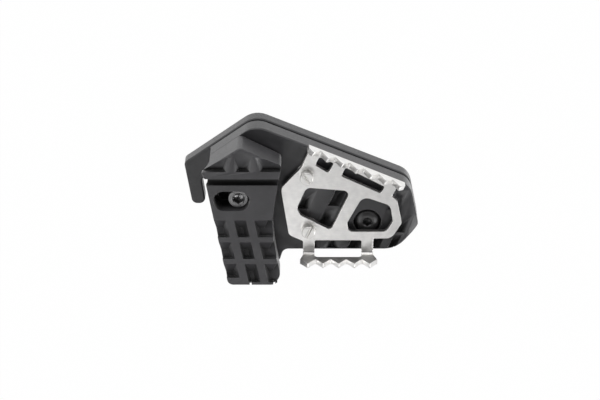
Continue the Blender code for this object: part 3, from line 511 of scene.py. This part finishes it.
def socket_screw(node, oxide, shank, side, top, flats, floor, pitch, knurls=0):
    """A screw with a rolled thread and a hexagon socket, its outlines in millimetres.

    On the shank the radius sinks by a ridge wave of the height over the pitch less the
    angle's share of a turn, which winds the thread, and it fades out below the head.  On
    the head's side a ridge wave of the angle makes the knurls.  On its top a sine of the
    radius leaves the turning tool's rings.  The socket's radius is half the width over
    its flats divided by the cosine of the angle from the middle of the nearest flat."""
    low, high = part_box(node)
    middle = ((low[0] + high[0]) / 2, (low[1] + high[1]) / 2)
    lead = pitch * mm
    shank_radius, shank_height = rows_along(shank)
    from_seat = abs(shank_height - shank_height[-1]) / lead
    from_foot = abs(shank_height - shank_height[0]) / lead
    cut_in = np.clip(from_seat - plain_turns, 0, 1) * np.clip(from_foot - lead_in_turns, 0, 1)
    wound = ridge(shank_height / lead - around / (2 * math.pi))
    threaded = shank_radius - thread_depth * lead * cut_in * wound
    side_radius, side_height = rows_along(side)
    full = side_radius > side_radius.max() - hair
    knurled = side_radius - knurl_depth * full * ridge(around * knurls / (2 * math.pi))
    outwards = 1.0 if shank_height[0] < shank_height[-1] else -1.0
    top_radius, top_height = rows_along(top)
    rings = ring_depth * np.sin(2 * math.pi * top_radius / ring_pitch)
    rings[0] = 0.0
    hexagon = flats / 2 * mm / np.cos((around + half_flat) % (2 * half_flat) - half_flat)
    mouth = top_height[-1, 0] - outwards * mouth_drop
    socket_height = np.linspace(mouth, floor * mm, socket_rows)[:, None]
    drilled = [(flats * drill_share, floor), (tip, floor - outwards * flats * drill_sink)]
    drill_radius, drill_height = rows_along(drilled)
    radius = [threaded, knurled, top_radius + 0 * around, hexagon + 0 * socket_height,
              drill_radius + 0 * around]
    height = [shank_height, side_height, top_height + outwards * rings, socket_height, drill_height]
    screw = lathe(node + "_turned", middle, np.concatenate(radius), np.concatenate(height))
    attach(screw, "carrier")
    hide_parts(node)
    dressed(screw, oxide)


# The step screw's black oxide is far paler than the other screws': painted light that brightens its head.
step_screw_black = black_oxide("step_screw_black", 0.2, 0.26)
under_head = 0.1
rim = 0.2
wide_shank = 3.0
step_seat = 24.15
step_crown = 30.15
step_head = 5.0
step_socket_depth = 3.0
crown_round = ((0.0, 0.55), (0.1, 0.2), (0.4, 0.03), (0.5, 0.0))
crown = [(step_head - inwards, step_crown - down) for inwards, down in crown_round]
step_shank = shank_outline(wide_shank, foot=11.5, seat=step_seat)
step_side = [(wide_shank + under_head, step_seat), (step_head - rim, step_seat),
             (step_head, step_seat + rim)] + crown[:-1]
step_mouth = [(3.1, step_crown), (2.95, step_crown - rim)]
socket_screw("step_screw", step_screw_black, step_shank, step_side, crown[-1:] + step_mouth,
             flats=5.0, floor=step_crown - step_socket_depth, pitch=1.0, knurls=48)


# The clamping screw: a domed head with a flange, sunk flush in the front body, of a darker black oxide
# than the step screw, whose paler tone is painted light.  It runs through the gap into the nut and closes
# the plates.
clamp_screw_black = black_oxide("clamp_screw_black", 0.075, 0.34)
clamp_seat = 16.0
flange_top = 17.3
flange_reach = 6.8
dome_foot = 17.4
dome_reach = 6.2
dome_rise = 2.7
dome_spread = 0.72
dome_top = 20.0
clamp_shank = shank_outline(wide_shank, foot=1.6, seat=clamp_seat)
clamp_flange = [(wide_shank + under_head, clamp_seat), (flange_reach - rim, clamp_seat),
                (flange_reach, clamp_seat + rim), (flange_reach, flange_top - rim),
                (flange_reach - rim, flange_top)]
# Over the dome the height rises by the sine of an angle, and the radius falls by the
# cosine of a fixed share of it.
climb = np.radians(np.linspace(0, 75, 9))
dome_radius = dome_reach * np.cos(dome_spread * climb)
dome_height = dome_foot + dome_rise * np.sin(climb)
dome_rows = np.stack([dome_radius, dome_height], 1).tolist()
clamp_mouth = [(2.6, dome_top), (2.35, dome_top - rim)]
socket_screw("clamp_screw", clamp_screw_black, clamp_shank, clamp_flange, dome_rows + clamp_mouth,
             flats=4.0, floor=dome_foot, pitch=1.0)


# The two countersunk screws that join the plates from behind, beside the hook's mouth:
# the same black oxide steel, their cones let into the rear plate.
joining_seat = 2.3
joining_face = 0.3
narrow_shank = 2.5
cone_reach = 4.4
joining_shank = shank_outline(narrow_shank, foot=17.0, seat=joining_seat)
joining_cone = [(narrow_shank + under_head, joining_seat - under_head),
                (cone_reach, joining_face + under_head)]
joining_mouth = [(1.95, joining_face), (1.8, joining_face + 0.15)]
joining_top = [(cone_reach - under_head, joining_face)] + joining_mouth
for side in ("left", "right"):
    socket_screw("joining_screw_" + side, clamp_screw_black, joining_shank, joining_cone, joining_top,
                 flats=3.0, floor=joining_seat, pitch=0.8)


# The hidden fittings: threaded inserts, rings that keep the plates and the tread
# apart, and the flanged nut let into the rear plate.  All are turned from bright steel.
for node in ("clamp_nut", "clamp_spacer", "step_insert", "tread_spacer_upper", "tread_spacer_lower",
             "tread_insert_upper", "tread_insert_lower", "joining_spacer_left", "joining_spacer_right",
             "joining_insert_left", "joining_insert_right"):
    nodes[node].data.materials.clear()
    nodes[node].data.materials.append(turned_steel)
